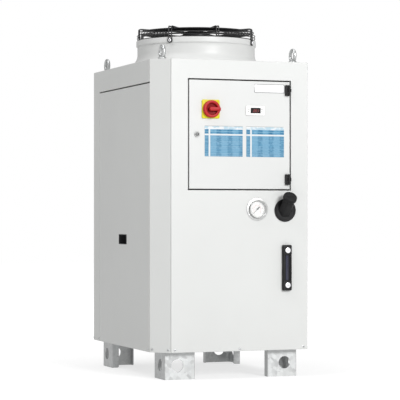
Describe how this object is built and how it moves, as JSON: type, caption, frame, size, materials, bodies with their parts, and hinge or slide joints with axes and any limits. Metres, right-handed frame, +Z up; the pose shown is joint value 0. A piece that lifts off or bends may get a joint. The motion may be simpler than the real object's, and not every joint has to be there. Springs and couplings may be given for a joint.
{
  "type": "packaged chiller",
  "caption": "Free-standing air-cooled water chiller: grey sheet-metal cabinet on bent feet, axial fan with wire guard on the roof, hinged control door in the front",
  "frame": {"origin": "bottom centre of the whole bounding box, on the floor", "axes": "+Z up, -Y to the front with the control door, +X to the right seen from the front"},
  "size_m": [0.6, 0.8358, 1.2972],
  "materials": {
    "black_motor": "satin black",
    "black_plastic": "black moulded plastic",
    "black_wire": "black coated wire",
    "brass": "nickel free brass",
    "bright_steel": "zinc plated steel",
    "chrome": "polished",
    "clear_glass": "clear lens",
    "dark_plastic": "dark moulded plastic",
    "device_plastic": "grey moulded plastic",
    "dial_white": "white dial",
    "display_black": "dark display window",
    "door_paint": "fine textured light grey powder coat",
    "duct_plastic": "grey moulded plastic",
    "galvanised": "galvanised sheet, soft spangle",
    "nameplate_white": "bare white plate",
    "panel_paint": "fine textured light grey powder coat",
    "pointer_black": "black pointer",
    "red_plastic": "red moulded plastic",
    "ring_paint": "smooth light grey paint",
    "white_plastic": "white moulded plastic",
    "window_blue": "dark blue sight tube",
    "yellow_plastic": "yellow moulded plastic"
  },
  "bodies": {
    "cabinet": {"base_frame": "galvanised", "cable_gland": "dark_plastic", "corner_strip": "panel_paint", "din_rails": "bright_steel", "door_frame": "panel_paint", "electrics_tray": "galvanised", "fan_collar": "ring_paint", "fan_guard": "black_wire", "fan_motor": "black_motor", "fan_ring": "ring_paint", "filler_neck": "black_plastic", "foot_front_left": "galvanised", "foot_front_right": "galvanised", "foot_rear_left": "galvanised", "foot_rear_right": "galvanised", "front_panel": "panel_paint", "gauge_case": "bright_steel", "gauge_dial": "dial_white", "gauge_glass": "clear_glass", "guard_lugs": "black_wire", "hinge_frame_leaves": "black_plastic", "left_band": "panel_paint", "left_grip": "dark_plastic", "left_panel": "panel_paint", "level_gauge_body": "black_plastic", "level_gauge_screws": "chrome", "level_gauge_window": "window_blue", "lifting_eyes": "bright_steel", "mounting_plate": "galvanised", "rear_louvres": "panel_paint", "rear_panel": "panel_paint", "right_band": "panel_paint", "right_grip": "dark_plastic", "right_panel": "panel_paint", "roof_panel": "panel_paint", "side_screws": "bright_steel", "switchgear": "device_plastic", "water_ports": "brass", "wire_ducts": "duct_plastic"},
    "door": {"door_panel": "door_paint", "lock_housing": "bright_steel", "controller": "white_plastic", "controller_display": "display_black", "nameplate": "nameplate_white", "switch_plate": "yellow_plastic", "hinge_door_leaves": "black_plastic"},
    "switch_handle": {"switch_knob": "red_plastic"},
    "lock_insert": {"lock_core": "bright_steel"},
    "fan_wheel": {"fan_rotor": "black_motor"},
    "gauge_hand": {"gauge_pointer": "pointer_black"},
    "tank_cap": {"filler_cap": "black_plastic"}
  },
  "joints": [
    {"name": "door_hinge", "type": "hinge", "parent": "cabinet", "child": "door", "pos_m": [0.2195, -0.35406, 0.8866], "axis": [0, 0, 1], "range_deg": [0, 120]},
    {"name": "switch_turn", "type": "hinge", "parent": "door", "child": "switch_handle", "pos_m": [-0.0848, -0.36206, 0.976], "axis": [0, 1, 0], "range_deg": [-90, 0]},
    {"name": "lock_turn", "type": "hinge", "parent": "door", "child": "lock_insert", "pos_m": [-0.137, -0.34706, 0.8846], "axis": [0, 1, 0], "range_deg": [0, 90]},
    {"name": "fan_spin", "type": "hinge", "parent": "cabinet", "child": "fan_wheel", "pos_m": [0.0012, 0.03644, 1.19], "axis": [0, 0, 1], "continuous": true},
    {"name": "gauge_hand_turn", "type": "hinge", "parent": "cabinet", "child": "gauge_hand", "pos_m": [0.0974, -0.35006, 0.6154], "axis": [0, 1, 0], "range_deg": [0, 270]},
    {"name": "cap_turn", "type": "hinge", "parent": "cabinet", "child": "tank_cap", "pos_m": [0.2065, -0.38924, 0.65071], "axis": [0, -0.6947, 0.7193], "range_deg": [0, 360]}
  ]
}
